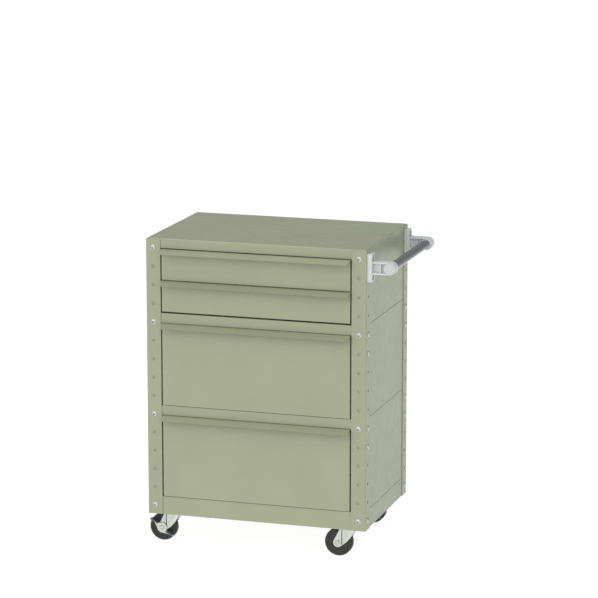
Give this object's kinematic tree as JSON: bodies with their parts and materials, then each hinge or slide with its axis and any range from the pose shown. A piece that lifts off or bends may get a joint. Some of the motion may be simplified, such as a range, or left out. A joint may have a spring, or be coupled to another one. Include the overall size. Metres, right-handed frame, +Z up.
{
  "type": "rolling tool chest",
  "caption": "Sheet steel drawer chest on swivel casters, with perforated corner posts, full-width folded drawer pulls and a push handle on one side.",
  "frame": {"origin": "centre of the chest's footprint box, on the floor under the wheels", "axes": "+Z up; +X towards the push handle's side; the drawers open towards -Y"},
  "size_m": [0.6863, 0.4291, 0.831],
  "materials": {
    "green_paint": "sage green powder coat, satin, with a fine orange-peel texture",
    "tray_steel": "light grey powder coat, satin",
    "slide_steel": "bright zinc plated, rolled",
    "handle_plastic": "white moulded plastic, satin",
    "tube_steel": "bright drawn tube",
    "grip_plastic": "dark grey ribless grip sleeve, smooth",
    "bolt_steel": "bright zinc plated",
    "tyre_rubber": "black moulded rubber, matt",
    "wheel_core": "black moulded plastic",
    "zinc_steel": "zinc plated pressed steel, satin"
  },
  "bodies": {
    "root": {"post_front_left": "green_paint", "post_front_right": "green_paint", "post_rear_left": "green_paint", "post_rear_right": "green_paint", "housing_top": "green_paint", "housing_middle": "green_paint", "housing_bottom": "green_paint", "base_tray": "green_paint", "slide_supports": "tray_steel", "slide_outer": "slide_steel", "slide_screws": "slide_steel", "handle_bracket_front": "handle_plastic", "handle_bracket_rear": "handle_plastic", "handle_tube": "tube_steel", "handle_grip": "grip_plastic", "handle_caps": "handle_plastic", "handle_bolts": "bolt_steel", "post_bolts": "bolt_steel", "post_nuts": "bolt_steel", "caster_plates": "zinc_steel", "caster_kingpins": "bolt_steel", "caster_bolts": "bolt_steel"},
    "drawer_1": {"drawer_tray_1": "tray_steel", "drawer_front_1": "green_paint", "drawer_pull_1": "green_paint", "slide_inner_1": "slide_steel"},
    "slide_middle_1": {"slide_middle_1": "slide_steel"},
    "drawer_2": {"drawer_tray_2": "tray_steel", "drawer_front_2": "green_paint", "drawer_pull_2": "green_paint", "slide_inner_2": "slide_steel"},
    "slide_middle_2": {"slide_middle_2": "slide_steel"},
    "drawer_3": {"drawer_tray_3": "tray_steel", "drawer_front_3": "green_paint", "drawer_pull_3": "green_paint", "slide_inner_3": "slide_steel"},
    "slide_middle_3": {"slide_middle_3": "slide_steel"},
    "drawer_4": {"drawer_tray_4": "tray_steel", "drawer_front_4": "green_paint", "drawer_pull_4": "green_paint", "slide_inner_4": "slide_steel"},
    "slide_middle_4": {"slide_middle_4": "slide_steel"},
    "fork_front_left": {"fork_front_left": "zinc_steel", "axle_front_left": "bolt_steel"},
    "wheel_front_left": {"tyre_front_left": "tyre_rubber", "hub_front_left": "wheel_core"},
    "fork_front_right": {"fork_front_right": "zinc_steel", "axle_front_right": "bolt_steel"},
    "wheel_front_right": {"tyre_front_right": "tyre_rubber", "hub_front_right": "wheel_core"},
    "fork_rear_left": {"fork_rear_left": "zinc_steel", "axle_rear_left": "bolt_steel"},
    "wheel_rear_left": {"tyre_rear_left": "tyre_rubber", "hub_rear_left": "wheel_core"},
    "fork_rear_right": {"fork_rear_right": "zinc_steel", "axle_rear_right": "bolt_steel"},
    "wheel_rear_right": {"tyre_rear_right": "tyre_rubber", "hub_rear_right": "wheel_core"},
    "brake_front_left": {"brake_pedal_front_left": "zinc_steel"},
    "brake_rear_right": {"brake_pedal_rear_right": "zinc_steel"}
  },
  "joints": [
    {"name": "drawer_1_slide", "type": "slide", "parent": "root", "child": "drawer_1", "axis": [0, -1, 0], "range_m": [0, 0.33]},
    {"name": "slide_middle_1_slide", "type": "slide", "parent": "root", "child": "slide_middle_1", "axis": [0, -1, 0], "range_m": [0, 0.165]},
    {"name": "drawer_2_slide", "type": "slide", "parent": "root", "child": "drawer_2", "axis": [0, -1, 0], "range_m": [0, 0.33]},
    {"name": "slide_middle_2_slide", "type": "slide", "parent": "root", "child": "slide_middle_2", "axis": [0, -1, 0], "range_m": [0, 0.165]},
    {"name": "drawer_3_slide", "type": "slide", "parent": "root", "child": "drawer_3", "axis": [0, -1, 0], "range_m": [0, 0.33]},
    {"name": "slide_middle_3_slide", "type": "slide", "parent": "root", "child": "slide_middle_3", "axis": [0, -1, 0], "range_m": [0, 0.165]},
    {"name": "drawer_4_slide", "type": "slide", "parent": "root", "child": "drawer_4", "axis": [0, -1, 0], "range_m": [0, 0.33]},
    {"name": "slide_middle_4_slide", "type": "slide", "parent": "root", "child": "slide_middle_4", "axis": [0, -1, 0], "range_m": [0, 0.165]},
    {"name": "swivel_front_left", "type": "hinge", "parent": "root", "child": "fork_front_left", "pos_m": [-0.2808, -0.1544, 0.0785], "axis": [0, 0, 1], "continuous": true},
    {"name": "wheel_front_left_spin", "type": "hinge", "parent": "fork_front_left", "child": "wheel_front_left", "pos_m": [-0.3068, -0.1544, 0.0375], "axis": [0, 1, 0], "continuous": true},
    {"name": "swivel_front_right", "type": "hinge", "parent": "root", "child": "fork_front_right", "pos_m": [0.2098, -0.1544, 0.0785], "axis": [0, 0, 1], "continuous": true},
    {"name": "wheel_front_right_spin", "type": "hinge", "parent": "fork_front_right", "child": "wheel_front_right", "pos_m": [0.1838, -0.1544, 0.0375], "axis": [0, 1, 0], "continuous": true},
    {"name": "swivel_rear_left", "type": "hinge", "parent": "root", "child": "fork_rear_left", "pos_m": [-0.2808, 0.1706, 0.0785], "axis": [0, 0, 1], "continuous": true},
    {"name": "wheel_rear_left_spin", "type": "hinge", "parent": "fork_rear_left", "child": "wheel_rear_left", "pos_m": [-0.3068, 0.1706, 0.0375], "axis": [0, 1, 0], "continuous": true},
    {"name": "swivel_rear_right", "type": "hinge", "parent": "root", "child": "fork_rear_right", "pos_m": [0.2098, 0.1706, 0.0785], "axis": [0, 0, 1], "continuous": true},
    {"name": "wheel_rear_right_spin", "type": "hinge", "parent": "fork_rear_right", "child": "wheel_rear_right", "pos_m": [0.1838, 0.1706, 0.0375], "axis": [0, 1, 0], "continuous": true},
    {"name": "brake_front_left_tilt", "type": "hinge", "parent": "fork_front_left", "child": "brake_front_left", "pos_m": [-0.3068, -0.1544, 0.0375], "axis": [0, -1, 0], "range_deg": [0, 18]},
    {"name": "brake_rear_right_tilt", "type": "hinge", "parent": "fork_rear_right", "child": "brake_rear_right", "pos_m": [0.1838, 0.1706, 0.0375], "axis": [0, -1, 0], "range_deg": [0, 18]}
  ],
  "couplings": [
    {"joint": "slide_middle_1_slide", "follows": "drawer_1_slide", "ratio": 0.5},
    {"joint": "slide_middle_2_slide", "follows": "drawer_2_slide", "ratio": 0.5},
    {"joint": "slide_middle_3_slide", "follows": "drawer_3_slide", "ratio": 0.5},
    {"joint": "slide_middle_4_slide", "follows": "drawer_4_slide", "ratio": 0.5}
  ]
}
